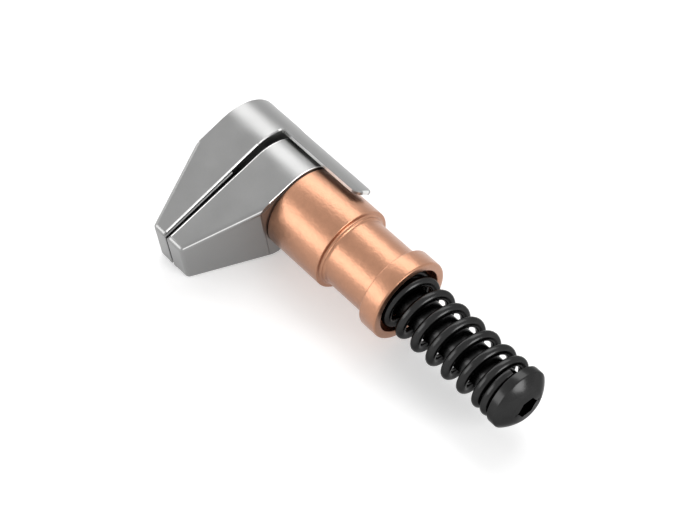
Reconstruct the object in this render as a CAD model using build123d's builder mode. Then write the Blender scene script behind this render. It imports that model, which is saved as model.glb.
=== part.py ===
from build123d import *
from math import acos, asin, atan2, cos, degrees, hypot, radians, sin, tan
import os

# Sheet metal edge clamp. X runs along the plunger, from the jaws to the screw head, and starts at the
# rear face of the collar. The jaws reach towards -Y. The finished clamp lies on one side of its jaws.

# Turned sleeve
barrel_diameter = 12.7
barrel_length = 10.0
neck_diameter = 10.64
neck_length = 8.5
collar_diameter = 12.6
collar_length = 3.04
mouth_diameter = 10.2
mouth_depth = 2.2
pocket_diameter = 9.6
pocket_depth = 3.4
bore_diameter = 8.0
rim_break = 0.15
collar_break = 0.3
ridge_height = 0.26
ridge_offset = 0.33
cove_length = 0.45
cove_bands = 2
seam_width = 0.15
seam_depth = 0.3

# Jaws, pressed from sheet
sheet = 0.55
jaw_depth = 6.88
jaw_reach = 17.7
jaw_gap = 0.8
tip_width = 7.2
fixed_tip_depth = 2.8
moving_tip_depth = 2.3
fixed_slope_start = 6.85
moving_slope_start = 6.2
slope_lip = 0.2
pad_start = 5.2
pad_proud = 0.25
pad_inset = 0.35
pad_corner = 0.5
pad_break = 0.15
bend_radius = 0.75
jaw_shoulder = 0.25
tab_clearance = 0.03
moving_back_rise = 0.68
tab_near_angle = 59.5
tab_far_angle = 28.5
tab_overhang = 15.1
tab_corner = 1.2
tab_root = 0.4
sheet_break = 0.15

# Jaw cores
plate_proud = 0.05
moving_core_depth = 2.4
stop_diameter = 9.0
hub_length = 2.5

# Plunger screw and its lock
shank_diameter = 5.0
screw_length = 55.0
head_diameter = 9.2
head_height = 2.8
head_band = 1.25
head_flat = 5.0
hex_socket = 3.0
hex_depth = 2.0
hex_drill = 0.5
hex_turn = -8.0
head_gap = 19.56
head_break = 0.1
end_chamfer = 0.5
lock_washer_diameter = 8.4
lock_washer_thickness = 0.9
lock_washer_split = 0.8
nut_across_flats = 8.0
nut_height = 2.7
nut_bevel = 0.35

# Return spring
wire_diameter = 1.4
spring_diameter = 9.0
end_turns = 1.0
opening_turns = 0.5
active_turns = 6.428
turn_points = 18
wire_sides = 8
spring_turn = -123.4
seat_washer_thickness = 0.6

# Clearances
seat_fit = 0.02
guide_fit = 0.05
shank_clearance = 0.15
washer_clearance = 0.1
stop_clearance = 0.05
spring_end_gap = 0.03

# Round backs of the jaws, over the barrel and over each other
fixed_back_radius = barrel_diameter / 2 + jaw_shoulder
moving_back_radius = fixed_back_radius + sheet + tab_clearance

# Stations along X
collar_rear = 0.0
collar_front = collar_rear - collar_length
barrel_rear = collar_front - neck_length
barrel_front = barrel_rear - barrel_length
plate_rear = barrel_front - seam_width
fixed_face = plate_rear - plate_proud - jaw_depth
moving_face = fixed_face - jaw_gap
moving_core_front = moving_face - moving_core_depth
pocket_floor = collar_rear - pocket_depth
head_seat = collar_rear + head_gap
screw_end = head_seat - screw_length
seat_washer_rear = pocket_floor + seat_washer_thickness
spring_front = seat_washer_rear + spring_end_gap
spring_rear = head_seat - spring_end_gap
section_height = 4 * jaw_reach


def wall_tangent(back_radius, back_rise):
    """Angle from +Y at which the round back runs into the straight wall towards the tip."""
    reach = jaw_reach + back_rise
    span = hypot(reach, tip_width / 2)
    return degrees(atan2(tip_width / 2, -reach) - acos(back_radius / span))


def jaw_section(x, back_radius, back_rise, inset=0.0):
    """Outline across a jaw at x: a round back and two walls that close in on the tip."""
    turn = wall_tangent(back_radius, back_rise)
    with BuildSketch(Plane.YZ.offset(x)) as section:
        with BuildLine():
            back = CenterArc((back_rise, 0), back_radius, -turn, 2 * turn)
            Polyline(back @ 1, (-jaw_reach, tip_width / 2), (-jaw_reach, -tip_width / 2), back @ 0)
        make_face()
        if inset:
            offset(amount=-inset, kind=Kind.INTERSECTION, mode=Mode.REPLACE)
    return section.sketch


def side_outline(face, side, points):
    """Profile in the XY plane from (depth behind the clamping face, height) pairs."""
    with BuildSketch(Plane.XY) as outline:
        with BuildLine():
            Polyline(*[(face + side * depth, height) for depth, height in points], close=True)
        make_face()
    return outline.sketch


def jaw_shell(face, side, back_radius, back_rise, slope_start, tip_depth, overhang=0.0):
    """Pressed jaw: back, walls, sloped wall, tip and clamping side, open where the core sits.

    The blank runs on past the cut edges by the overhang, for a tab to be cut from it.
    """
    top = back_radius + back_rise + sheet
    slope_run = (jaw_depth - tip_depth) / (jaw_reach - slope_start)
    wall_run = sheet * hypot(1, slope_run)
    inner_tip = -jaw_reach + sheet
    lip_height = slope_lip - slope_start
    lip_depth = jaw_depth + slope_lip * slope_run - wall_run
    backed = side_outline(face, side, [
        (-overhang, top), (-overhang, -pad_start), (jaw_depth, -pad_start), (jaw_depth, top),
    ])
    folded = side_outline(face, side, [
        (0, -pad_start), (0, -jaw_reach), (tip_depth, -jaw_reach), (jaw_depth, -slope_start),
        (jaw_depth, -pad_start),
    ])
    hollow = side_outline(face, side, [
        (-overhang - sheet, 2 * top), (-overhang - sheet, -pad_start),
        (sheet - pad_proud, -pad_start), (sheet - pad_proud, inner_tip),
        (tip_depth + sheet * slope_run - wall_run, inner_tip), (lip_depth, lip_height),
        (jaw_depth + sheet, lip_height), (jaw_depth + sheet, 2 * top),
    ])
    with BuildPart() as cavity:
        inside = jaw_section(face - side * (overhang + sheet), back_radius, back_rise, sheet)
        extrude(inside, amount=jaw_depth + overhang + 2 * sheet, dir=(side, 0, 0))
        extrude(hollow, amount=section_height, both=True, mode=Mode.INTERSECT)
    outside = jaw_section(face - side * overhang, back_radius, back_rise)
    with BuildPart() as lower_half:
        extrude(outside, amount=jaw_depth + overhang, dir=(side, 0, 0))
        extrude(folded, amount=section_height, both=True, mode=Mode.INTERSECT)
        bends = lower_half.edges().filter_by(
            lambda edge: edge.center().Y < -slope_start - sheet
            and side * (edge.center().X - face) > seat_fit
            and (abs(edge.center().Z) > sheet or edge.center().Y < -jaw_reach + sheet)
        )
        fillet(bends, bend_radius)
    with BuildPart() as shell:
        extrude(outside, amount=jaw_depth + overhang, dir=(side, 0, 0))
        extrude(backed, amount=section_height, both=True, mode=Mode.INTERSECT)
        add(lower_half.part)
        add(cavity.part, mode=Mode.SUBTRACT)
    return shell.part


def clamping_pad(face, side, back_radius, back_rise):
    """Pad pressed out of the clamping side, inside the cut edges and flush with the tip."""
    spread = -1 / tan(radians(wall_tangent(back_radius, back_rise)))
    tip_half = tip_width / 2 - pad_inset
    top_half = tip_half + spread * (jaw_reach - pad_start)
    crest = face - side * pad_proud
    with BuildPart() as pad:
        with BuildSketch(Plane.YZ.offset(crest)) as outline:
            with BuildLine():
                Polyline(
                    (-pad_start, top_half), (-jaw_reach, tip_half), (-jaw_reach, -tip_half),
                    (-pad_start, -top_half), close=True,
                )
            make_face()
            fillet(outline.vertices().filter_by(lambda vertex: vertex.Y < -pad_start - sheet), pad_corner)
        extrude(amount=sheet, dir=(side, 0, 0))
        rim = pad.edges().filter_by(lambda edge: abs(edge.center().X - crest) < seat_fit)
        fillet(rim, pad_break)
    return pad.part


def core_block(face, side, back_radius, back_rise, slope_start, depth):
    """Solid that fills the upper half of a jaw shell, rebated over the clamping pad."""
    top = 2 * (back_radius + back_rise)
    pad_edge = -pad_start + seat_fit
    pad_back = sheet - pad_proud + seat_fit
    foot = slope_lip - slope_start + seat_fit
    profile = side_outline(face, side, [
        (0, top), (0, pad_edge), (pad_back, pad_edge), (pad_back, foot), (depth, foot), (depth, top),
    ])
    with BuildPart() as block:
        inside = jaw_section(face, back_radius, back_rise, sheet + seat_fit)
        extrude(inside, amount=depth, dir=(side, 0, 0))
        extrude(profile, amount=section_height, both=True, mode=Mode.INTERSECT)
    return block.part


def cut_edges(piece, face, side, back_radius, back_rise):
    """Outer edges of the clamping side and of a tab, where the sheet was cut."""
    turn = radians(wall_tangent(back_radius, back_rise))

    def on_skin(point):
        up = point.Y - back_rise
        across = abs(point.Z)
        if atan2(across, up) < turn:
            reach = hypot(up, across)
        else:
            reach = up * cos(turn) + across * sin(turn)
        return min(back_radius - reach, jaw_reach + point.Y) < sheet / 3

    return piece.edges().filter_by(
        lambda edge: side * (edge.center().X - face) < seat_fit and on_skin(edge.center())
    )


def cove(centre, radius, first, last):
    """Points of a turned hollow, from one angle in degrees to another, in straight bands."""
    turns = [radians(first + (last - first) * band / cove_bands) for band in range(cove_bands + 1)]
    return [(centre[0] + radius * cos(turn), centre[1] + radius * sin(turn)) for turn in turns]


def spring_points():
    """Points along the wire's centre line: close end coils and an even pitch between them."""
    radius = (spring_diameter - wire_diameter) / 2
    turns = active_turns + 2 * end_turns
    start = spring_front + wire_diameter / 2
    rise = spring_rear - wire_diameter / 2 - start
    steps = round(turns * turn_points)
    share = turns / steps
    closed = (wire_diameter + 2 * spring_end_gap) * share
    openness = [
        min(1.0, max(0.0, min(step, steps - step) * share - end_turns) / opening_turns)
        for step in range(steps)
    ]
    extra = (rise - closed * steps) / sum(openness)
    points = []
    x = start
    for step in range(steps + 1):
        angle = radians(spring_turn - 360 * share * step)
        points.append((x, radius * cos(angle), radius * sin(angle)))
        if step < steps:
            x += closed + extra * openness[step]
    return points


# Fixed jaw
with BuildPart() as fixed_jaw:
    add(jaw_shell(fixed_face, 1, fixed_back_radius, 0.0, fixed_slope_start, fixed_tip_depth))
    chamfer(cut_edges(fixed_jaw, fixed_face, 1, fixed_back_radius, 0.0), sheet_break)
    add(clamping_pad(fixed_face, 1, fixed_back_radius, 0.0))
fixed_jaw.part.label = "fixed_jaw"

# Moving jaw with the guide tab that slides along the barrel
with BuildPart() as moving_jaw:
    add(jaw_shell(
        moving_face, -1, moving_back_radius, moving_back_rise, moving_slope_start, moving_tip_depth,
        tab_overhang,
    ))
    with BuildSketch(Plane.YZ.offset(moving_face)):
        with Locations((2 * jaw_reach - pad_start, 0)):
            Rectangle(4 * jaw_reach, 4 * jaw_reach)
        with BuildLine():
            PolarLine((moving_back_rise, 0), 2 * jaw_reach, tab_far_angle)
            PolarLine((moving_back_rise, 0), 2 * jaw_reach, tab_near_angle)
            CenterArc((moving_back_rise, 0), 2 * jaw_reach, tab_far_angle, tab_near_angle - tab_far_angle)
        make_face(mode=Mode.SUBTRACT)
    extrude(amount=tab_overhang, mode=Mode.SUBTRACT)
    tab_end = moving_face + tab_overhang
    tab_corners = moving_jaw.edges().filter_by(
        lambda edge: abs(edge.center().X - tab_end) < seat_fit and edge.length < 2 * sheet
    )
    fillet(tab_corners, tab_corner)
    roots = moving_jaw.edges().filter_by(
        lambda edge: abs(edge.center().X - moving_face) < seat_fit
        and abs(edge.length - sheet) < seat_fit
        and edge.center().Y > moving_back_rise
    )
    fillet(roots, tab_root)
    chamfer(cut_edges(moving_jaw, moving_face, -1, moving_back_radius, moving_back_rise), sheet_break)
    add(clamping_pad(moving_face, -1, moving_back_radius, moving_back_rise))
moving_jaw.part.label = "moving_jaw"

# Fixed jaw core, with a hub pressed into the sleeve
with BuildPart() as fixed_jaw_core:
    add(core_block(fixed_face, 1, fixed_back_radius, 0.0, fixed_slope_start, jaw_depth + plate_proud))
    with BuildSketch(Plane.YZ.offset(plate_rear)):
        Circle(bore_diameter / 2 - seat_fit)
    extrude(amount=seam_width + hub_length)
    with BuildSketch(Plane.YZ.offset(fixed_face)):
        Circle(shank_diameter / 2 + shank_clearance)
    extrude(amount=jaw_depth + plate_proud + seam_width + hub_length, mode=Mode.SUBTRACT)
fixed_jaw_core.part.label = "fixed_jaw_core"

# Moving jaw core, tapped for the screw, with a round stop that meets the fixed core
with BuildPart() as moving_jaw_core:
    add(core_block(
        moving_face, -1, moving_back_radius, moving_back_rise, moving_slope_start, moving_core_depth,
    ))
    with BuildSketch(Plane.YZ.offset(moving_face)):
        Circle(stop_diameter / 2)
    extrude(amount=jaw_gap - stop_clearance)
    with BuildSketch(Plane.YZ.offset(moving_core_front)):
        Circle(shank_diameter / 2 + seat_fit)
    extrude(amount=moving_core_depth + jaw_gap, mode=Mode.SUBTRACT)
moving_jaw_core.part.label = "moving_jaw_core"

# Sleeve, turned in one piece: register, barrel, ridge, neck, collar and spring pocket
barrel_radius = barrel_diameter / 2
neck_radius = neck_diameter / 2
ridge_radius = neck_radius + ridge_height
ridge_x = barrel_rear + ridge_offset
ridge_turn = 180 + degrees(asin(1 - ridge_height / cove_length))
collar_radius = collar_diameter / 2
mouth_radius = mouth_diameter / 2
with BuildPart() as sleeve:
    with BuildSketch(Plane.XY):
        with BuildLine():
            Polyline(
                (barrel_front - seam_width, bore_diameter / 2),
                (barrel_front - seam_width, barrel_radius - seam_depth),
                (barrel_front, barrel_radius - seam_depth),
                (barrel_front, barrel_radius - rim_break),
                (barrel_front + rim_break, barrel_radius),
                (barrel_rear - rim_break, barrel_radius),
                (barrel_rear, barrel_radius - rim_break),
                *cove((ridge_x, ridge_radius + ridge_offset), ridge_offset, 180, 270),
                *cove((ridge_x + cove_length, neck_radius + cove_length), cove_length, ridge_turn, 270),
                (collar_front, neck_radius),
                (collar_front, collar_radius - rim_break),
                (collar_front + rim_break, collar_radius),
                (collar_rear - collar_break, collar_radius),
                (collar_rear, collar_radius - collar_break),
                (collar_rear, mouth_radius + rim_break),
                (collar_rear - rim_break, mouth_radius),
                (collar_rear - mouth_depth, mouth_radius),
                (collar_rear - mouth_depth, pocket_diameter / 2),
                (pocket_floor, pocket_diameter / 2),
                (pocket_floor, bore_diameter / 2),
                close=True,
            )
        make_face()
    revolve(axis=Axis.X)
sleeve.part.label = "sleeve"

# Guide bush for the plunger, between the hub and the pocket floor
bush_front = barrel_front + hub_length + seat_fit
with BuildPart() as guide_bush:
    with BuildSketch(Plane.YZ.offset(bush_front)):
        Circle(bore_diameter / 2 - seat_fit)
        Circle(shank_diameter / 2 + guide_fit, mode=Mode.SUBTRACT)
    extrude(amount=pocket_floor - bush_front)
guide_bush.part.label = "guide_bush"

# Spring seat washer on the pocket floor
with BuildPart() as spring_seat_washer:
    with BuildSketch(Plane.YZ.offset(pocket_floor)):
        Circle(pocket_diameter / 2 - washer_clearance)
        Circle(shank_diameter / 2 + shank_clearance, mode=Mode.SUBTRACT)
    extrude(amount=seat_washer_thickness)
spring_seat_washer.part.label = "spring_seat_washer"

# Return spring, coiled left-hand with closed ends
with BuildPart() as return_spring:
    wire_points = spring_points()
    with BuildLine() as coil:
        Polyline(wire_points)
    with BuildSketch(Plane(origin=wire_points[0], z_dir=Vector(wire_points[1]) - Vector(wire_points[0]))):
        RegularPolygon(wire_diameter / 2, wire_sides)
    sweep(path=coil.line, transition=Transition.RIGHT)
return_spring.part.label = "return_spring"

# Plunger screw: button head with a hex socket, and a plain shank
head_top = head_seat + head_height
shank_radius = shank_diameter / 2
head_radius = head_diameter / 2
socket_floor = head_top - hex_depth
crown_x = head_seat + head_band
crown_drop = head_top - crown_x
crown_centre = (head_radius**2 - (head_flat / 2) ** 2 - crown_drop**2) / (2 * crown_drop)
crown_radius = hypot(crown_centre, head_radius)
with BuildPart() as plunger_screw:
    with BuildSketch(Plane.XY):
        with BuildLine():
            Polyline(
                (head_top, 0),
                (screw_end, 0),
                (screw_end, shank_radius - end_chamfer),
                (screw_end + end_chamfer, shank_radius),
                (head_seat, shank_radius),
                (head_seat, head_radius - head_break),
                (head_seat + head_break, head_radius),
                (crown_x, head_radius),
            )
            RadiusArc((crown_x, head_radius), (head_top, head_flat / 2), crown_radius)
            Line((head_top, head_flat / 2), (head_top, 0))
        make_face()
    revolve(axis=Axis.X)
    with BuildSketch(Plane.YZ.offset(head_top)):
        RegularPolygon(hex_socket / 2, 6, major_radius=False, rotation=hex_turn)
    extrude(amount=-hex_depth, mode=Mode.SUBTRACT)
    with BuildSketch(Plane.YZ.offset(socket_floor)):
        Circle(hex_socket / 2)
    extrude(amount=-hex_drill, taper=45, mode=Mode.SUBTRACT)
plunger_screw.part.label = "plunger_screw"

# Split lock washer in front of the moving core
with BuildPart() as lock_washer:
    with BuildSketch(Plane.YZ.offset(moving_core_front)):
        Circle(lock_washer_diameter / 2)
        Circle(shank_diameter / 2 + washer_clearance, mode=Mode.SUBTRACT)
        with Locations((lock_washer_diameter / 2, 0)):
            Rectangle(lock_washer_diameter / 2, lock_washer_split, mode=Mode.SUBTRACT)
    extrude(amount=-lock_washer_thickness)
lock_washer.part.label = "lock_washer"

# Jaw nut, thin and bevelled
nut_rear = moving_core_front - lock_washer_thickness
with BuildPart() as jaw_nut:
    with BuildSketch(Plane.YZ.offset(nut_rear)):
        RegularPolygon(nut_across_flats / 2, 6, major_radius=False)
    extrude(amount=-nut_height)
    with BuildSketch(Plane.XY):
        corner = nut_across_flats / 2 / cos(radians(30))
        with BuildLine():
            Polyline(
                (nut_rear, 0),
                (nut_rear, corner - nut_bevel),
                (nut_rear - nut_bevel / 2, corner),
                (nut_rear - nut_height + nut_bevel / 2, corner),
                (nut_rear - nut_height, corner - nut_bevel),
                (nut_rear - nut_height, 0),
                close=True,
            )
        make_face()
    revolve(axis=Axis.X, mode=Mode.INTERSECT)
    with BuildSketch(Plane.YZ.offset(nut_rear)):
        Circle(shank_diameter / 2 + seat_fit)
    extrude(amount=-nut_height, mode=Mode.SUBTRACT)
jaw_nut.part.label = "jaw_nut"

# The clamp rolls onto one wall of the wider jaw, which then lies level
lying = Rot(X=wall_tangent(moving_back_radius, moving_back_rise) - 90)
pieces = (
    fixed_jaw, moving_jaw, fixed_jaw_core, moving_jaw_core, sleeve, guide_bush,
    spring_seat_washer, return_spring, plunger_screw, lock_washer, jaw_nut,
)
os.makedirs("parts", exist_ok=True)
for piece in pieces:
    export_step(lying * piece.part, f"parts/{piece.part.label}.step")
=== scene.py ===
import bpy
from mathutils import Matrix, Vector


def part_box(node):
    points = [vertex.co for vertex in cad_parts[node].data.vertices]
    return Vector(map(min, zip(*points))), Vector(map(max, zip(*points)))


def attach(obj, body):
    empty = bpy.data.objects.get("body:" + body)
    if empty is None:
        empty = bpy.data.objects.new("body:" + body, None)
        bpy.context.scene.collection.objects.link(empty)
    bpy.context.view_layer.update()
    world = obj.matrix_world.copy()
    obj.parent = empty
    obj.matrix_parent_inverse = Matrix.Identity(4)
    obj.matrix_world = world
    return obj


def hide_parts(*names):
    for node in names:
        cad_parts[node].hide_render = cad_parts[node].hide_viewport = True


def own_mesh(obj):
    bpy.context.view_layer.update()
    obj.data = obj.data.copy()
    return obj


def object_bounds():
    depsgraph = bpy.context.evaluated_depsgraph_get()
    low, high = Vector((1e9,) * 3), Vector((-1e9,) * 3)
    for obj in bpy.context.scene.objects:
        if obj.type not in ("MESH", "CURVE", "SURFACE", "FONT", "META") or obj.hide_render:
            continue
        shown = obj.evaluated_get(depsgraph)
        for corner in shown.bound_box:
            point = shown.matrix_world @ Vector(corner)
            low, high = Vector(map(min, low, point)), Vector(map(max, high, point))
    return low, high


bl_info = {
    "name": "Sheet Metal Edge Clamp",
    "version": (1, 0, 0),
    "blender": (4, 5, 0),
    "location": "3D View > Sidebar > Clamp",
    "description": "Builds the finished look of a spring-loaded edge clamp round its solid model",
    "category": "Add Mesh",
}

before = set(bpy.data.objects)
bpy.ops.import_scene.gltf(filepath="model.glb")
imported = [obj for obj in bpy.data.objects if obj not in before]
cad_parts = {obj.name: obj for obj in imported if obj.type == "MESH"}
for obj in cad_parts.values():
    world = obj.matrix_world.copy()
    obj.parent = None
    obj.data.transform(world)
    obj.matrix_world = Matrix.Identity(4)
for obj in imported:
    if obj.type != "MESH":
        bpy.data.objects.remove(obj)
solid_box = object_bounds()

from math import asin, atan2, cos, hypot, pi, radians, sin

import bmesh
import bpy
from bpy.props import FloatProperty, FloatVectorProperty, IntProperty, PointerProperty
from mathutils import Matrix, Vector

MM = 0.001
SLEEVE_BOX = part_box("sleeve")
SCREW_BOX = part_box("plunger_screw")
WASHER_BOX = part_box("spring_seat_washer")

# Distances below which points are one, an edge touches a plane and an edge is waste
SPIN_SEAM = 0.001 * MM
SKIN_SEAM = 0.0005 * MM
TOUCH = 0.01 * MM
SLIVER = 0.002 * MM

# Bends between two faces
LEVEL = radians(0.5)
SHEET_CREASE = radians(28)
TURNED_CREASE = radians(30)
LEAST_CHAMFER_BEND = radians(40)
MOST_CHAMFER_BEND = radians(50)
CUT_CORNER = radians(60)

# How much of a face's normal may point along the axis where the face runs nearly or truly along it,
# and how much may point outwards where the face looks sideways
NEARLY_ALONG = 0.3
TRULY_ALONG = 0.1
SIDEWAYS = 0.2

# Levels of the noise at which the clouds are darkest and brightest and the sheen stops changing
DARK_CLOUD = 0.3
BRIGHT_CLOUD = 0.68
NOISE_LOW = 0.3
NOISE_HIGH = 0.7

# How far the roughness swings either way, as a share of it
MOTTLED_SWING = 0.15
RINGED_SWING = 0.08

RELIEF_DEPTH = 0.1 * MM
RING_STRETCH = 0.12
CORNER_STEPS = 3
# Material slot of the painted edge highlight on the jaws
BRIGHT_SLOT = 1
HEX_SIDES = 6
SENSOR_WIDTH = 36.0


# Properties

def length(name, description, default):
    """Length in metres."""
    return FloatProperty(name=name, description=description, default=default, min=0.0, unit="LENGTH")


def angle(name, description, degrees):
    """Angle, given in degrees."""
    return FloatProperty(name=name, description=description, default=radians(degrees), unit="ROTATION")


def share(name, description, default):
    """Share from nought to one."""
    return FloatProperty(name=name, description=description, default=default, min=0.0, max=1.0,
                         subtype="FACTOR")


def number(name, description, default, least=0.0):
    """Plain number without a unit."""
    return FloatProperty(name=name, description=description, default=default, min=least)


def count(name, description, default):
    """Whole number of steps or sides."""
    return IntProperty(name=name, description=description, default=default, min=1)


def colour(name, description, default):
    """Linear colour."""
    return FloatVectorProperty(name=name, description=description, default=default, min=0.0, max=1.0,
                               size=3, subtype="COLOR")


def direction(name, description, default):
    """Direction from the clamp, of any length."""
    return FloatVectorProperty(name=name, description=description, default=default, size=3,
                               subtype="DIRECTION")


class ClampSleeveSizes(bpy.types.PropertyGroup):
    """Sizes of the turned sleeve"""
    barrel_radius: length("Barrel Radius", "Radius of the wide front barrel", SLEEVE_BOX[1].y)
    barrel_length: length("Barrel Length", "Length of the barrel behind its register", 10.0 * MM)
    register_length: length("Register Length", "Width of the dark seam in front of the barrel", 0.15 * MM)
    register_depth: length("Register Depth", "Depth of the seam below the barrel", 0.3 * MM)
    neck_radius: length("Neck Radius", "Radius of the neck between barrel and collar", 5.32 * MM)
    ridge_height: length("Ridge Height", "Height of the ridge above the neck", 0.26 * MM)
    ridge_offset: length("Ridge Offset", "Distance of the ridge behind the barrel", 0.33 * MM)
    ridge_steps: count("Ridge Steps", "Steps of the arc from the barrel to the ridge", 8)
    cove_length: length("Cove Length", "Length of the hollow between ridge and neck", 0.45 * MM)
    cove_steps: count("Cove Steps", "Steps of the hollow between ridge and neck", 6)
    collar_radius: length("Collar Radius", "Radius of the rear collar", 6.3 * MM)
    collar_length: length("Collar Length", "Length of the rear collar", 3.04 * MM)
    mouth_radius: length("Mouth Radius", "Radius of the opening in the collar", 5.1 * MM)
    pocket_radius: length("Pocket Radius", "Radius of the spring pocket", 4.8 * MM)
    mouth_depth: length("Mouth Depth", "Depth of the opening in the collar", 2.2 * MM)
    bore_radius: length("Bore Radius", "Radius of the bore for the guide bush", 4.0 * MM)
    edge_break: length("Edge Break", "Rounding of the outer edges", 0.16 * MM)
    collar_break: length("Collar Break", "Rounding of the collar's rear edge", 0.3 * MM)
    round_steps: count("Round Steps", "Steps of the full turn", 192)


class ClampSpringSizes(bpy.types.PropertyGroup):
    """Sizes of the return spring"""
    wire_radius: length("Wire Radius", "Radius of the round wire", 0.7 * MM)
    wire_sides: count("Wire Sides", "Sides of the round wire", 20)
    coil_radius: length("Coil Radius", "Outer radius of the coil", 4.5 * MM)
    end_turns: number("End Turns", "Closed turns at each end", 1.0, least=0.5)
    opening_turns: number("Opening Turns", "Turns over which the pitch opens", 0.5, least=0.1)
    active_turns: number("Active Turns", "Turns between the closed ends", 6.428, least=1.0)
    turn_steps: count("Turn Steps", "Steps of the wire in one turn", 48)
    start_turn: angle("Start Turn", "Where the front end of the wire begins", -111.94)
    clearance: length("Clearance", "Gap beside closed turns", 0.03 * MM)


class ClampScrewSizes(bpy.types.PropertyGroup):
    """Sizes of the plunger screw"""
    shank_radius: length("Shank Radius", "Radius of the plain shank", 2.5 * MM)
    head_radius: length("Head Radius", "Radius of the button head", SCREW_BOX[1].y)
    head_height: length("Head Height", "Height of the button head", 2.8 * MM)
    band_height: length("Band Height", "Straight band round the head", 1.25 * MM)
    flat_radius: length("Flat Radius", "Flat ring round the socket", 2.5 * MM)
    socket_width: length("Socket Width", "Width of the hex socket across its flats", 3.0 * MM)
    socket_depth: length("Socket Depth", "Depth of the hex socket", 2.0 * MM)
    socket_cone: length("Socket Cone", "Depth of the cone at the bottom of the socket", 0.5 * MM)
    socket_turn: angle("Socket Turn", "Turn of the hex socket about the axis", 3.46)
    end_chamfer: length("End Chamfer", "Chamfer at the front end", 0.5 * MM)
    edge_break: length("Edge Break", "Rounding of the head's edges", 0.1 * MM)
    socket_break: length("Socket Break", "Rounding of the socket's edge", 0.07 * MM)
    socket_break_steps: count("Socket Break Steps", "Steps of the socket's rounded edge", 2)
    crown_steps: count("Crown Steps", "Steps of the domed crown", 14)
    flat_steps: count("Flat Steps", "Steps along each flat of the socket, a sixth of the full turn", 24)


class ClampFinish(bpy.types.PropertyGroup):
    """Colours, roughness, edge roundings and painted edge highlights of the metals"""
    jaw_colour: colour("Jaw Colour", "Bare pressed steel of the jaws", (0.272, 0.272, 0.270))
    # Edge Colour paints the highlight along the jaws' cut edges and folds; on the cut edges it is partly
    # the sheared metal's own brightness.
    edge_highlight_colour: colour("Edge Colour", "Bright metal along the cut edges", (0.78, 0.78, 0.77))
    copper_colour: colour("Copper Colour", "Satin plating of the sleeve", (0.425, 0.208, 0.122))
    bush_colour: colour("Bush Colour", "Bronze of the guide bush", (0.42, 0.27, 0.12))
    black_colour: colour("Black Colour", "Black oxide of screw, nut and spring", (0.037, 0.037, 0.037))
    jaw_roughness: share("Jaw Roughness", "Roughness of the jaws", 0.35)
    copper_roughness: share("Copper Roughness", "Roughness of the plating", 0.33)
    black_roughness: share("Black Roughness", "Roughness of the black oxide", 0.24)
    black_rim: share("Black Rim", "Share of the light that the black oxide reflects at its outline", 0.55)
    # The roundings also carry the painted edge highlight.
    fixed_rounding: length("Fixed Rounding", "Wear of the fixed jaw's cut edges", 0.12 * MM)
    moving_rounding: length("Moving Rounding", "Wear of the moving jaw's cut edges", 0.07 * MM)
    # Fold Line sets the width of the painted highlight along each fold.
    fold_line: length("Fold Line", "Half the width of the bright line along a fold", 0.09 * MM)


class ClampStudio(bpy.types.PropertyGroup):
    """Camera, lamps and floor"""
    camera_place: FloatVectorProperty(
        name="Camera Place", description="Where the camera stands", size=3, subtype="TRANSLATION",
        unit="LENGTH", default=(122.50 * MM, -138.18 * MM, 225.76 * MM))
    camera_turn: FloatVectorProperty(
        name="Camera Turn", description="How the camera is turned", size=3, subtype="EULER",
        unit="ROTATION", default=(radians(39.998), radians(-3.472), radians(48.267)))
    lens: number("Lens", "Focal length in millimetres on a 36 mm sensor", 113.14)
    lamp_distance: length("Lamp Distance", "Distance of the soft boxes", 0.5)
    lamp_width: length("Lamp Width", "Width of the long soft boxes along the clamp", 0.5)
    lamp_height: length("Lamp Height", "Height of the long soft boxes across the clamp", 0.3)
    lamp_radiance: number("Lamp Radiance", "Brightness of the long soft boxes", 2.85)
    rear_side: direction("Rear Side", "Where the rear soft box stands", (-0.449, 0.487, 0.750))
    front_side: direction("Front Side", "Where the front soft box stands", (-0.449, -0.845, 0.291))
    head_side: direction("Head Side", "Where the lamp behind the head stands", (0.876, 0.2, 0.42))
    head_lamp: length("Head Lamp", "Side length of the lamp behind the head", 0.24)
    head_radiance: number("Head Radiance", "Brightness of the lamp behind the head", 6.6)
    jaw_side: direction("Jaw Side", "Where the lamp before the jaws stands", (-0.93, 0.02, 0.36))
    jaw_lamp: length("Jaw Lamp", "Side length of the lamp before the jaws", 0.24)
    jaw_radiance: number("Jaw Radiance", "Brightness of the lamp before the jaws", 2.6)
    ambient: number("Ambient", "Strength of the light from all sides", 0.35)
    floor_colour: colour("Floor Colour", "Pale floor under the clamp", (0.8, 0.8, 0.8))
    floor_reach: length("Floor Reach", "Distance from the clamp to the floor's edges", 0.36)
    floor_glow: number("Floor Glow", "Light added to the floor where it is seen", 0.4)


class ClampSettings(bpy.types.PropertyGroup):
    """All sizes, finishes and studio values"""
    sleeve: PointerProperty(type=ClampSleeveSizes)
    spring: PointerProperty(type=ClampSpringSizes)
    screw: PointerProperty(type=ClampScrewSizes)
    finish: PointerProperty(type=ClampFinish)
    studio: PointerProperty(type=ClampStudio)


def settings():
    """The values that the scene holds for the clamp."""
    return bpy.context.scene.edge_clamp


# Shader building

def add_node(tree, kind, place, inputs=None, **values):
    """New node at its place in the tree, with its own values and those of its sockets."""
    node = tree.nodes.new(kind)
    node.location = place
    for key, value in values.items():
        setattr(node, key, value)
    for key, value in (inputs or {}).items():
        node.inputs[key].default_value = value
    return node


def empty_tree(owner):
    """Node tree of a material or a world, cleared."""
    owner.use_nodes = True
    owner.node_tree.nodes.clear()
    return owner.node_tree


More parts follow.
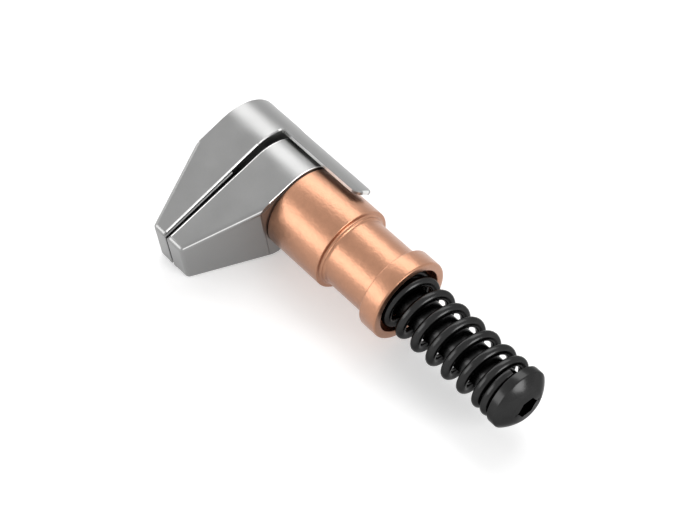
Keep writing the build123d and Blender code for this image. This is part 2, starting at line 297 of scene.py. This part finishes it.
def new_group(name, inputs, outputs):
    """Shader node group with its sockets, and its two end nodes."""
    group = bpy.data.node_groups.new(name, "ShaderNodeTree")
    for label, kind, default in inputs:
        socket = group.interface.new_socket(name=label, in_out="INPUT", socket_type=kind)
        if default is not None:
            socket.default_value = default
    for label, kind in outputs:
        group.interface.new_socket(name=label, in_out="OUTPUT", socket_type=kind)
    start = add_node(group, "NodeGroupInput", (-900, 0))
    end = add_node(group, "NodeGroupOutput", (900, 0))
    return group, start, end


def mottle_group():
    """Cloudy unevenness of a plated or oiled surface, with a finer grain over it."""
    if "Mottle" in bpy.data.node_groups:
        return bpy.data.node_groups["Mottle"]
    group, start, end = new_group(
        "Mottle",
        [("Vector", "NodeSocketVector", None), ("Cloud Scale", "NodeSocketFloat", 300.0),
         ("Grain Scale", "NodeSocketFloat", 4000.0), ("Grain Share", "NodeSocketFloat", 0.4)],
        [("Value", "NodeSocketFloat"), ("Grain", "NodeSocketFloat")])
    cloud = add_node(group, "ShaderNodeTexNoise", (-500, 200), {"Detail": 4.0})
    grain = add_node(group, "ShaderNodeTexNoise", (-500, -200), {"Detail": 3.0})
    blend = add_node(group, "ShaderNodeMix", (200, 0), data_type="FLOAT")
    link = group.links.new
    link(start.outputs["Vector"], cloud.inputs["Vector"])
    link(start.outputs["Vector"], grain.inputs["Vector"])
    link(start.outputs["Cloud Scale"], cloud.inputs["Scale"])
    link(start.outputs["Grain Scale"], grain.inputs["Scale"])
    link(start.outputs["Grain Share"], blend.inputs["Factor"])
    link(cloud.outputs["Fac"], blend.inputs["A"])
    link(grain.outputs["Fac"], blend.inputs["B"])
    link(blend.outputs["Result"], end.inputs["Value"])
    link(grain.outputs["Fac"], end.inputs["Grain"])
    return group


def turning_group():
    """Broken rings left by the lathe, which follow the axis on the wall and the radius on a face."""
    if "Turning" in bpy.data.node_groups:
        return bpy.data.node_groups["Turning"]
    group, start, end = new_group(
        "Turning",
        [("Vector", "NodeSocketVector", None), ("Scale", "NodeSocketFloat", 4500.0)],
        [("Value", "NodeSocketFloat")])
    split = add_node(group, "ShaderNodeSeparateXYZ", (-700, 0))
    across = add_node(group, "ShaderNodeCombineXYZ", (-500, -150))
    radius = add_node(group, "ShaderNodeVectorMath", (-300, -150), operation="LENGTH")
    ring = add_node(group, "ShaderNodeCombineXYZ", (-100, 0))
    round_the_axis = add_node(group, "ShaderNodeMath", (-300, 100), {1: RING_STRETCH},
                              operation="MULTIPLY")
    lines = add_node(group, "ShaderNodeTexNoise", (200, 0), {"Detail": 4.0})
    link = group.links.new
    link(start.outputs["Vector"], split.inputs["Vector"])
    link(split.outputs["Y"], across.inputs["Y"])
    link(split.outputs["Z"], across.inputs["Z"])
    link(across.outputs["Vector"], radius.inputs[0])
    link(split.outputs["X"], ring.inputs["X"])
    link(radius.outputs["Value"], ring.inputs["Y"])
    link(split.outputs["Z"], round_the_axis.inputs[0])
    link(round_the_axis.outputs["Value"], ring.inputs["Z"])
    link(ring.outputs["Vector"], lines.inputs["Vector"])
    link(start.outputs["Scale"], lines.inputs["Scale"])
    link(lines.outputs["Fac"], end.inputs["Value"])
    return group


def metal(name, tint, roughness, dark, cloud_scale, grain_scale, bump, rings=0.0, lacquer=0.0, rim=1.0):
    """Metal with mottled colour, sheen and relief, made once.

    dark is the share of the tint that is left in the darkest clouds, and bump the strength of the
    relief. rings is the share of the turning rings in the relief, lacquer the weight of a clear coat,
    and rim the share of the light that is reflected at the outline.
    """
    if name in bpy.data.materials:
        return bpy.data.materials[name]
    material = bpy.data.materials.new(name)
    tree = empty_tree(material)
    link = tree.links.new
    output = add_node(tree, "ShaderNodeOutputMaterial", (900, 0))
    shader = add_node(tree, "ShaderNodeBsdfPrincipled", (600, 0), {
        "Metallic": 1.0, "Specular Tint": (rim, rim, rim, 1), "Coat Weight": lacquer,
        "Coat Roughness": roughness})
    place = add_node(tree, "ShaderNodeTexCoord", (-900, 0))
    mottle = add_node(tree, "ShaderNodeGroup", (-600, 100), {
        "Cloud Scale": cloud_scale, "Grain Scale": grain_scale}, node_tree=mottle_group())
    tones = add_node(tree, "ShaderNodeValToRGB", (-300, 200))
    darkest, brightest = tones.color_ramp.elements
    darkest.position = DARK_CLOUD
    darkest.color = (*[part * dark for part in tint], 1)
    brightest.position = BRIGHT_CLOUD
    brightest.color = (*tint, 1)
    swing = RINGED_SWING if rings else MOTTLED_SWING
    sheen = add_node(tree, "ShaderNodeMapRange", (-300, -100), {
        "From Min": NOISE_LOW, "From Max": NOISE_HIGH, "To Min": roughness * (1 - swing),
        "To Max": roughness * (1 + swing)})
    relief = add_node(tree, "ShaderNodeBump", (300, -250), {"Strength": bump, "Distance": RELIEF_DEPTH})
    link(place.outputs["Object"], mottle.inputs["Vector"])
    pattern, height = mottle.outputs["Value"], mottle.outputs["Grain"]
    if rings:
        turning = add_node(tree, "ShaderNodeGroup", (-600, -300), node_tree=turning_group())
        mixed = add_node(tree, "ShaderNodeMix", (0, -250), {"Factor": rings}, data_type="FLOAT")
        link(place.outputs["Object"], turning.inputs["Vector"])
        link(mottle.outputs["Value"], mixed.inputs["A"])
        link(turning.outputs["Value"], mixed.inputs["B"])
        pattern, height = turning.outputs["Value"], mixed.outputs["Result"]
    link(mottle.outputs["Value"], tones.inputs["Fac"])
    link(pattern, sheen.inputs["Value"])
    link(height, relief.inputs["Height"])
    link(tones.outputs["Color"], shader.inputs["Base Color"])
    link(sheen.outputs["Result"], shader.inputs["Roughness"])
    link(relief.outputs["Normal"], shader.inputs["Normal"])
    link(shader.outputs["BSDF"], output.inputs["Surface"])
    return material


def pressed_steel():
    """Bare steel of the jaws and their cores."""
    finish = settings().finish
    return metal("pressed_steel", finish.jaw_colour, finish.jaw_roughness, dark=0.93, cloud_scale=260,
                 grain_scale=5000, bump=0.024)


def bright_edge_highlight():
    """Bright steel that paints the highlight along the jaws' folds and cut edges; on the cut edges it is
    partly the sheared metal's own brightness.
    """
    finish = settings().finish
    return metal("bright_edge_highlight", finish.edge_highlight_colour, finish.jaw_roughness, dark=0.85, cloud_scale=900,
                 grain_scale=6000, bump=0.016)


def copper_plating():
    """Satin copper of the sleeve under a thin lacquer."""
    finish = settings().finish
    return metal("copper_plating", finish.copper_colour, finish.copper_roughness, dark=0.88,
                 cloud_scale=1300, grain_scale=3600, bump=0.6, rings=0.06, lacquer=0.4)


def bush_bronze():
    """Turned bronze of the guide bush."""
    finish = settings().finish
    return metal("bush_bronze", finish.bush_colour, finish.jaw_roughness, dark=0.85, cloud_scale=300,
                 grain_scale=4000, bump=0.03, rings=0.6)


def black_oxide():
    """Black finish of the screw, the spring, the washers and the nut, dull at its outline."""
    finish = settings().finish
    return metal("black_oxide", finish.black_colour, finish.black_roughness, dark=0.75, cloud_scale=500,
                 grain_scale=5200, bump=0.024, rim=finish.black_rim)


# Mesh building

def arc(centre, radius, first, last, steps):
    """Profile points on a circle, from one angle to another."""
    turns = [first + (last - first) * step / steps for step in range(steps + 1)]
    return [(centre[0] + radius * cos(turn), centre[1] + radius * sin(turn)) for turn in turns]


def add_profile(bm, points, closed=False):
    """Wire of (x, radius) points in the plane beside the axis."""
    verts = [bm.verts.new((x, radius, 0)) for x, radius in points]
    for pair in zip(verts, verts[1:]):
        bm.edges.new(pair)
    if closed:
        bm.edges.new((verts[-1], verts[0]))
    return verts


def wire_edges(bm):
    """Edges that have no face yet."""
    return [edge for edge in bm.edges if edge.is_wire]


def round_off(bm, parts, width, affect, steps=CORNER_STEPS, material=-1):
    """Round a profile's corners or a skin's edges. A material of -1 is that of the faces beside them."""
    bmesh.ops.bevel(bm, geom=parts, offset=width, offset_type="OFFSET", affect=affect, segments=steps,
                    profile=0.5, material=material)


def spin_full(bm, steps):
    """Turn the whole wire round the axis."""
    bmesh.ops.spin(bm, geom=bm.verts[:] + bm.edges[:], cent=(0, 0, 0), axis=(1, 0, 0), dvec=(0, 0, 0),
                   angle=2 * pi, steps=steps, use_merge=True, use_duplicate=False)
    bmesh.ops.remove_doubles(bm, verts=bm.verts[:], dist=SPIN_SEAM)


def add_piece(bm, name, materials, body, node, crease):
    """Object from the mesh, smooth but for its creases, riding on its body in place of its node."""
    for edge in bm.edges:
        edge.smooth = not (edge.is_manifold and edge.calc_face_angle() > crease)
    for face in bm.faces:
        face.smooth = True
    mesh = bpy.data.meshes.new(name)
    bm.to_mesh(mesh)
    bm.free()
    for material in materials:
        mesh.materials.append(material)
    piece = bpy.data.objects.new(name, mesh)
    bpy.context.collection.objects.link(piece)
    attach(piece, body)
    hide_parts(node)
    return piece


def new_piece(bm, name, material, body, node):
    """Piece modelled here from its own profile."""
    bmesh.ops.recalc_face_normals(bm, faces=bm.faces[:])
    return add_piece(bm, name, [material], body, node, TURNED_CREASE)


def dressed_copy(node, name, material, body, edge_rounding=0.0):
    """Smooth copy of a solid's mesh, its loose triangles merged into one skin."""
    bm = bmesh.new()
    bm.from_mesh(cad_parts[node].data)
    bmesh.ops.remove_doubles(bm, verts=bm.verts[:], dist=SKIN_SEAM)
    bmesh.ops.dissolve_limit(bm, angle_limit=LEVEL, verts=bm.verts[:], edges=bm.edges[:],
                             use_dissolve_boundaries=False)
    materials = [material]
    # Jaws with a rounding get a second slot for the painted edge highlight.
    if edge_rounding:
        round_and_highlight_jaw(bm, edge_rounding)
        materials.append(bright_edge_highlight())
    piece = add_piece(bm, name, materials, body, node, SHEET_CREASE)
    for label in ("custom_normal", "sharp_face"):
        if label in piece.data.attributes:
            piece.data.attributes.remove(piece.data.attributes[label])
    shading = piece.modifiers.new("Weighted Normals", "WEIGHTED_NORMAL")
    shading.mode = "FACE_AREA"
    shading.keep_sharp = True
    shading.weight = 60
    return piece


# Rounded cut edges and painted edge highlights of the pressed jaws

def faces_outward(face):
    """Whether a face lies along the axis and looks away from it."""
    middle = face.calc_center_median()
    return abs(face.normal.x) < NEARLY_ALONG and face.normal.y * middle.y + face.normal.z * middle.z > 0


def is_tab_edge(face):
    """Whether a face is the cut along the tab, which looks round the back rather than away from it."""
    middle = face.calc_center_median()
    outward = Vector((0, middle.y, middle.z)).normalized()
    along = abs(face.normal.x) < TRULY_ALONG
    return middle.y > 0 and along and abs(face.normal.dot(outward)) < SIDEWAYS


def long_sides(face):
    """The two longest edges of a face."""
    return sorted(face.edges, key=lambda edge: edge.calc_length())[-2:]


def is_chamfer(face):
    """Whether a face is a narrow chamfer, with a bend of half a right angle along both long sides."""
    return all(edge.is_manifold and LEAST_CHAMFER_BEND < edge.calc_face_angle() < MOST_CHAMFER_BEND
               for edge in long_sides(face))


def skin_sides(chamfer):
    """The long sides of a chamfer that border on the jaw's skin."""
    sides = []
    for edge in long_sides(chamfer):
        beside = next(face for face in edge.link_faces if face is not chamfer)
        if abs(beside.normal.x) < NEARLY_ALONG and not is_tab_edge(beside):
            sides.append(edge)
    return sides


def shortest_edge(vert):
    """Length of the shortest edge at a vertex."""
    return min(edge.calc_length() for edge in vert.link_edges)


def clear_of_corners(edges, width):
    """Edges that can be rounded, cut short where they end in a corner of very small edges."""
    cut = 2 * width
    clear = []
    for edge in edges:
        for vert in list(edge.verts):
            if shortest_edge(vert) <= width and edge.calc_length() > 2 * cut:
                bmesh.utils.edge_split(edge, vert, cut / edge.calc_length())
        if min(shortest_edge(vert) for vert in edge.verts) > width:
            clear.append(edge)
    return clear


def rear_rim(bm):
    """Outer edges of the jaw's open rear."""
    rear = max(vert.co.x for vert in bm.verts)
    return [edge for edge in bm.edges if edge.is_manifold and edge.calc_face_angle() > CUT_CORNER
            and min(vert.co.x for vert in edge.verts) > rear - TOUCH
            and any(faces_outward(face) for face in edge.link_faces)]


def fold_lines(bm):
    """The line along the middle of the fold between each flat wall and the slope."""
    shortest_line = 3 * MM
    least_slant = 0.2
    slanting = []
    for edge in bm.edges:
        along = edge.verts[1].co - edge.verts[0].co
        if (edge.is_manifold and edge.calc_face_angle() < SHEET_CREASE and along.length > shortest_line
                and min(abs(along.x), abs(along.y)) > least_slant * along.length):
            slanting.append((sum(vert.co.z for vert in edge.verts), edge))
    slanting.sort(key=lambda pair: pair[0])
    upper = [edge for height, edge in slanting if height > 0]
    lower = [edge for height, edge in slanting if height < 0]
    return [fold[len(fold) // 2] for fold in (upper, lower)]


def round_and_highlight_jaw(bm, width):
    """Round a jaw's cut edges towards its skin, and paint a highlight on them and along the lines of its
    folds.
    """
    rounded_bright_edges = set(clear_of_corners(rear_rim(bm), width))
    for face in bm.faces:
        # The tab's cut faces and the chamfers take the bright edge material: painted highlight, partly
        # the sheared metal's own brightness.
        if is_tab_edge(face):
            face.material_index = BRIGHT_SLOT
        elif is_chamfer(face):
            face.material_index = BRIGHT_SLOT
            rounded_bright_edges.update(skin_sides(face))
    # The roundings take the bright edge material too: painted highlight along the rims, partly the cut
    # metal's own brightness.
    round_off(bm, [edge for edge in bm.edges if edge in rounded_bright_edges], width, "EDGES", material=BRIGHT_SLOT)
    # A narrow band along the middle of each fold takes the bright edge material: painted highlight.
    round_off(bm, fold_lines(bm), settings().finish.fold_line, "EDGES", steps=1, material=BRIGHT_SLOT)
    bmesh.ops.dissolve_degenerate(bm, dist=SLIVER, edges=bm.edges[:])


# Steps of the build

class CLAMP_OT_sleeve(bpy.types.Operator):
    """Turn the copper-plated sleeve from one profile"""
    bl_idname = "clamp.sleeve"
    bl_label = "Turned Sleeve"

    def execute(self, context):
        size = settings().sleeve
        front = SLEEVE_BOX[0].x
        rear = SLEEVE_BOX[1].x
        barrel_front = front + size.register_length
        barrel_rear = barrel_front + size.barrel_length
        collar_front = rear - size.collar_length
        pocket_floor = WASHER_BOX[0].x
        ridge_x = barrel_rear + size.ridge_offset
        ridge_centre = (ridge_x, size.neck_radius + size.ridge_height + size.ridge_offset)
        cove_centre = (ridge_x + size.cove_length, size.neck_radius + size.cove_length)
        cove_start = -pi + asin(1 - size.ridge_height / size.cove_length)
        outline = [
            (front, size.bore_radius),
            (front, size.barrel_radius - size.register_depth),
            (barrel_front, size.barrel_radius - size.register_depth),
            (barrel_front, size.barrel_radius),
            (barrel_rear, size.barrel_radius),
        ]
        outline += arc(ridge_centre, size.ridge_offset, pi, 1.5 * pi, size.ridge_steps)
        outline += arc(cove_centre, size.cove_length, cove_start, -pi / 2, size.cove_steps)
        outline += [
            (collar_front, size.neck_radius),
            (collar_front, size.collar_radius),
            (rear, size.collar_radius),
            (rear, size.mouth_radius),
            (rear - size.mouth_depth, size.mouth_radius),
            (rear - size.mouth_depth, size.pocket_radius),
            (pocket_floor, size.pocket_radius),
            (pocket_floor, size.bore_radius),
        ]
        bm = bmesh.new()
        verts = add_profile(bm, outline, closed=True)
        barrel_rims = verts[3:5]
        collar_front_rim, collar_rear_rim, mouth_rim = verts[-7:-4]
        round_off(bm, [collar_rear_rim], size.collar_break, "VERTICES")
        round_off(bm, [*barrel_rims, collar_front_rim, mouth_rim], size.edge_break, "VERTICES")
        spin_full(bm, size.round_steps)
        new_piece(bm, "turned_sleeve", copper_plating(), "body", "sleeve")
        return {"FINISHED"}


class CLAMP_OT_spring(bpy.types.Operator):
    """Wind the return spring from round wire, with its end coils closed"""
    bl_idname = "clamp.spring"
    bl_label = "Return Spring"

    def execute(self, context):
        size = settings().spring
        head_seat = SCREW_BOX[1].x - settings().screw.head_height
        first = WASHER_BOX[1].x + size.clearance + size.wire_radius
        last = head_seat - size.clearance - size.wire_radius
        bm = bmesh.new()
        turned = Matrix.Rotation(size.start_turn, 4, "X")
        place = turned @ Matrix.Translation((first, size.coil_radius - size.wire_radius, 0))
        bmesh.ops.create_circle(bm, cap_ends=False, segments=size.wire_sides, radius=size.wire_radius,
                                matrix=place)
        self.wind(bm, size, last - first)
        coil = new_piece(bm, "coil_spring", black_oxide(), "body", "return_spring")
        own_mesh(coil)
        return {"FINISHED"}

    def wind(self, bm, size, reach):
        """Wind the circle of wire along the axis and close its two ends."""
        turns = size.active_turns + 2 * size.end_turns
        steps = round(turns * size.turn_steps)
        step_turn = turns / steps
        openness = []
        for step in range(steps):
            from_end = min(step, steps - step) * step_turn
            openness.append(min(1.0, max(0.0, from_end - size.end_turns) / size.opening_turns))
        closed_rise = 2 * (size.wire_radius + size.clearance) * step_turn
        open_rise = (reach - closed_rise * steps) / sum(openness)
        ring = bm.verts[:] + bm.edges[:]
        ends = [bm.edges[:]]
        for opened in openness:
            spun = bmesh.ops.spin(bm, geom=ring, cent=(0, 0, 0), axis=(1, 0, 0),
                                  dvec=(closed_rise + open_rise * opened, 0, 0),
                                  angle=-2 * pi * step_turn, steps=1, use_merge=False,
                                  use_duplicate=False)
            ring = spun["geom_last"]
        ends.append([part for part in ring if isinstance(part, bmesh.types.BMEdge)])
        for rim in ends:
            bmesh.ops.edgeloop_fill(bm, edges=rim)


class CLAMP_OT_screw(bpy.types.Operator):
    """Turn the plunger screw and sink its hex socket"""
    bl_idname = "clamp.screw"
    bl_label = "Plunger Screw"

    def execute(self, context):
        size = settings().screw
        end = SCREW_BOX[0].x
        top = SCREW_BOX[1].x
        seat = top - size.head_height
        crown = seat + size.band_height
        outline = [
            (end, 0.0),
            (end, size.shank_radius - size.end_chamfer),
            (end + size.end_chamfer, size.shank_radius),
            (seat, size.shank_radius),
            (seat, size.head_radius),
        ]
        outline += self.crown_arc(size, crown, top)
        bm = bmesh.new()
        verts = add_profile(bm, outline)
        band_rims = [vert for vert in verts if vert.co.y > size.head_radius - TOUCH]
        round_off(bm, band_rims, size.edge_break, "VERTICES")
        spin_full(bm, HEX_SIDES * size.flat_steps)
        self.sink_socket(bm, size, crown, top)
        new_piece(bm, "button_head_screw", black_oxide(), "plunger", "plunger_screw")
        return {"FINISHED"}

    def crown_arc(self, size, crown, top):
        """Dome from the top of the band to the flat round the socket."""
        rise = top - crown
        centre_drop = (size.head_radius**2 - size.flat_radius**2 - rise**2) / (2 * rise)
        radius = hypot(centre_drop, size.head_radius)
        first = atan2(size.head_radius, centre_drop)
        last = atan2(size.flat_radius, centre_drop + rise)
        return arc((crown - centre_drop, 0.0), radius, first, last, size.crown_steps)

    def sink_socket(self, bm, size, crown, top):
        """Join a hexagon to the open top of the head, and sink it to a shallow cone."""
        top_ring = [edge for edge in bm.edges if edge.is_boundary and edge.verts[0].co.x > crown]
        corner = size.socket_width / 2 / cos(pi / HEX_SIDES)
        turned = Matrix.Rotation(size.socket_turn, 4, "X")
        face_on = turned @ Matrix.Translation((top, 0, 0)) @ Matrix.Rotation(pi / 2, 4, "Y")
        bmesh.ops.create_circle(bm, cap_ends=False, segments=HEX_SIDES, radius=corner, matrix=face_on)
        bmesh.ops.subdivide_edges(bm, edges=wire_edges(bm), cuts=size.flat_steps - 1)
        rim = wire_edges(bm)
        bmesh.ops.bridge_loops(bm, edges=top_ring + rim)
        sunk = bmesh.ops.extrude_edge_only(bm, edges=rim)["geom"]
        floor_verts = [part for part in sunk if isinstance(part, bmesh.types.BMVert)]
        floor_edges = [part for part in sunk if isinstance(part, bmesh.types.BMEdge)
                       and all(vert in floor_verts for vert in part.verts)]
        bmesh.ops.translate(bm, verts=floor_verts, vec=(-size.socket_depth, 0, 0))
        cone = bmesh.ops.extrude_edge_only(bm, edges=floor_edges)["geom"]
        tip_verts = [part for part in cone if isinstance(part, bmesh.types.BMVert)]
        tip = (top - size.socket_depth - size.socket_cone, 0, 0)
        bmesh.ops.pointmerge(bm, verts=tip_verts, merge_co=tip)
        round_off(bm, rim, size.socket_break, "EDGES", steps=size.socket_break_steps)


class CLAMP_OT_jaws(bpy.types.Operator):
    """Dress both pressed jaws in bare steel, with painted highlights along their edges and folds"""
    bl_idname = "clamp.jaws"
    bl_label = "Pressed Jaws"

    def execute(self, context):
        finish = settings().finish
        dressed_copy("fixed_jaw", "fixed_jaw_sheet", pressed_steel(), "body", finish.fixed_rounding)
        dressed_copy("moving_jaw", "moving_jaw_sheet", pressed_steel(), "plunger", finish.moving_rounding)
        return {"FINISHED"}


class CLAMP_OT_cores(bpy.types.Operator):
    """Dress the steel cores inside both jaws"""
    bl_idname = "clamp.cores"
    bl_label = "Jaw Cores"

    def execute(self, context):
        dressed_copy("fixed_jaw_core", "fixed_core_block", pressed_steel(), "body")
        dressed_copy("moving_jaw_core", "moving_core_block", pressed_steel(), "plunger")
        return {"FINISHED"}


class CLAMP_OT_fittings(bpy.types.Operator):
    """Dress the bush, washers and nut"""
    bl_idname = "clamp.fittings"
    bl_label = "Bush, Washers and Nut"

    def execute(self, context):
        dressed_copy("guide_bush", "bronze_bush", bush_bronze(), "body")
        dressed_copy("spring_seat_washer", "seat_washer", black_oxide(), "body")
        dressed_copy("lock_washer", "split_washer", black_oxide(), "plunger")
        dressed_copy("jaw_nut", "thin_nut", black_oxide(), "plunger")
        return {"FINISHED"}


# Studio

def seen_directly(tree, place):
    """One where a ray comes from the camera or by way of a reflection or a clear body, or else nought."""
    path = add_node(tree, "ShaderNodeLightPath", (place[0] - 500, place[1]))
    mirror = add_node(tree, "ShaderNodeMath", (place[0] - 250, place[1]), operation="MAXIMUM")
    clear = add_node(tree, "ShaderNodeMath", place, operation="MAXIMUM")
    tree.links.new(path.outputs["Is Camera Ray"], mirror.inputs[0])
    tree.links.new(path.outputs["Is Glossy Ray"], mirror.inputs[1])
    tree.links.new(mirror.outputs["Value"], clear.inputs[0])
    tree.links.new(path.outputs["Is Transmission Ray"], clear.inputs[1])
    return clear.outputs["Value"]


def pale_floor(studio):
    """Matt floor that takes the shadow and glows a little where it is seen."""
    material = bpy.data.materials.new("pale_floor")
    tree = empty_tree(material)
    matt = add_node(tree, "ShaderNodeBsdfDiffuse", (0, 200), {"Color": (*studio.floor_colour, 1)})
    lift = add_node(tree, "ShaderNodeMath", (-200, 0), {1: studio.floor_glow}, operation="MULTIPLY")
    glow = add_node(tree, "ShaderNodeEmission", (0, 0))
    both = add_node(tree, "ShaderNodeAddShader", (300, 100))
    output = add_node(tree, "ShaderNodeOutputMaterial", (600, 100))
    tree.links.new(seen_directly(tree, (-500, 0)), lift.inputs[0])
    tree.links.new(lift.outputs["Value"], glow.inputs["Strength"])
    tree.links.new(matt.outputs["BSDF"], both.inputs[0])
    tree.links.new(glow.outputs["Emission"], both.inputs[1])
    tree.links.new(both.outputs["Shader"], output.inputs["Surface"])
    return material


def white_room(studio):
    """World that is white where it is seen and gives a soft light from all sides."""
    world = bpy.data.worlds.new("white_room")
    tree = empty_tree(world)
    level = add_node(tree, "ShaderNodeMapRange", (-200, 0), {"To Min": studio.ambient, "To Max": 1.0})
    sky = add_node(tree, "ShaderNodeBackground", (0, 0), {"Color": (1, 1, 1, 1)})
    output = add_node(tree, "ShaderNodeOutputWorld", (300, 0))
    tree.links.new(seen_directly(tree, (-500, 0)), level.inputs["Value"])
    tree.links.new(level.outputs["Result"], sky.inputs["Strength"])
    tree.links.new(sky.outputs["Background"], output.inputs["Surface"])
    return world


def add_floor(studio):
    """Floor at the lowest point of the clamp."""
    bm = bmesh.new()
    bmesh.ops.create_grid(bm, x_segments=1, y_segments=1, size=studio.floor_reach,
                          matrix=Matrix.Translation((0, 0, solid_box[0].z)))
    mesh = bpy.data.meshes.new("floor")
    bm.to_mesh(mesh)
    bm.free()
    mesh.materials.append(pale_floor(studio))
    floor = bpy.data.objects.new("floor", mesh)
    bpy.context.collection.objects.link(floor)


def soft_box(name, side, width, height, radiance, distance):
    """Area lamp that faces the clamp from one side, its width along the clamp."""
    lamp = bpy.data.lights.new(name, "AREA")
    lamp.shape = "RECTANGLE"
    lamp.size = width
    lamp.size_y = height
    lamp.energy = radiance * pi * width * height
    holder = bpy.data.objects.new(name, lamp)
    bpy.context.collection.objects.link(holder)
    back = Vector(side).normalized()
    long_side = (Vector((1, 0, 0)) - back * back.x).normalized()
    short_side = back.cross(long_side)
    turned = Matrix((long_side, short_side, back)).transposed()
    holder.matrix_world = Matrix.Translation(back * distance) @ turned.to_4x4()


def add_camera(studio):
    """Camera at the angle of the photograph."""
    camera = bpy.data.objects.new("camera", bpy.data.cameras.new("camera"))
    camera.data.lens = studio.lens
    camera.data.sensor_width = SENSOR_WIDTH
    camera.data.clip_start = 0.01
    camera.location = studio.camera_place
    camera.rotation_euler = studio.camera_turn
    bpy.context.collection.objects.link(camera)
    return camera


class CLAMP_OT_studio(bpy.types.Operator):
    """Set the pale floor, the soft light and the camera"""
    bl_idname = "clamp.studio"
    bl_label = "Floor, Light and Camera"

    def execute(self, context):
        studio = settings().studio
        wide, high, radiance = studio.lamp_width, studio.lamp_height, studio.lamp_radiance
        lamps = (
            ("rear_soft_box", studio.rear_side, wide, high, radiance),
            ("front_soft_box", studio.front_side, wide, high, radiance),
            ("head_soft_box", studio.head_side, studio.head_lamp, studio.head_lamp, studio.head_radiance),
            ("jaw_soft_box", studio.jaw_side, studio.jaw_lamp, studio.jaw_lamp, studio.jaw_radiance),
        )
        add_floor(studio)
        context.scene.world = white_room(studio)
        for lamp in lamps:
            soft_box(*lamp, studio.lamp_distance)
        context.scene.camera = add_camera(studio)
        context.scene.view_settings.view_transform = "Standard"
        return {"FINISHED"}


class CLAMP_PT_panel(bpy.types.Panel):
    """Steps that dress the clamp"""
    bl_idname = "CLAMP_PT_panel"
    bl_label = "Edge Clamp"
    bl_space_type = "VIEW_3D"
    bl_region_type = "UI"
    bl_category = "Clamp"

    def draw(self, context):
        column = self.layout.column(align=True)
        for operator in OPERATORS:
            column.operator(operator.bl_idname)


OPERATORS = (CLAMP_OT_sleeve, CLAMP_OT_spring, CLAMP_OT_screw, CLAMP_OT_jaws, CLAMP_OT_cores,
             CLAMP_OT_fittings, CLAMP_OT_studio)
GROUPS = (ClampSleeveSizes, ClampSpringSizes, ClampScrewSizes, ClampFinish, ClampStudio, ClampSettings)
CLASSES = GROUPS + OPERATORS + (CLAMP_PT_panel,)


def register():
    """Register the classes and give the scene its values for the clamp."""
    for cls in CLASSES:
        bpy.utils.register_class(cls)
    bpy.types.Scene.edge_clamp = PointerProperty(type=ClampSettings)


def unregister():
    """Take back what register did."""
    del bpy.types.Scene.edge_clamp
    for cls in reversed(CLASSES):
        bpy.utils.unregister_class(cls)


def main():
    """Dress the clamp and set the stage."""
    register()
    bpy.ops.clamp.sleeve()
    bpy.ops.clamp.spring()
    bpy.ops.clamp.screw()
    bpy.ops.clamp.jaws()
    bpy.ops.clamp.cores()
    bpy.ops.clamp.fittings()
    bpy.ops.clamp.studio()


if __name__ == "__main__":
    main()
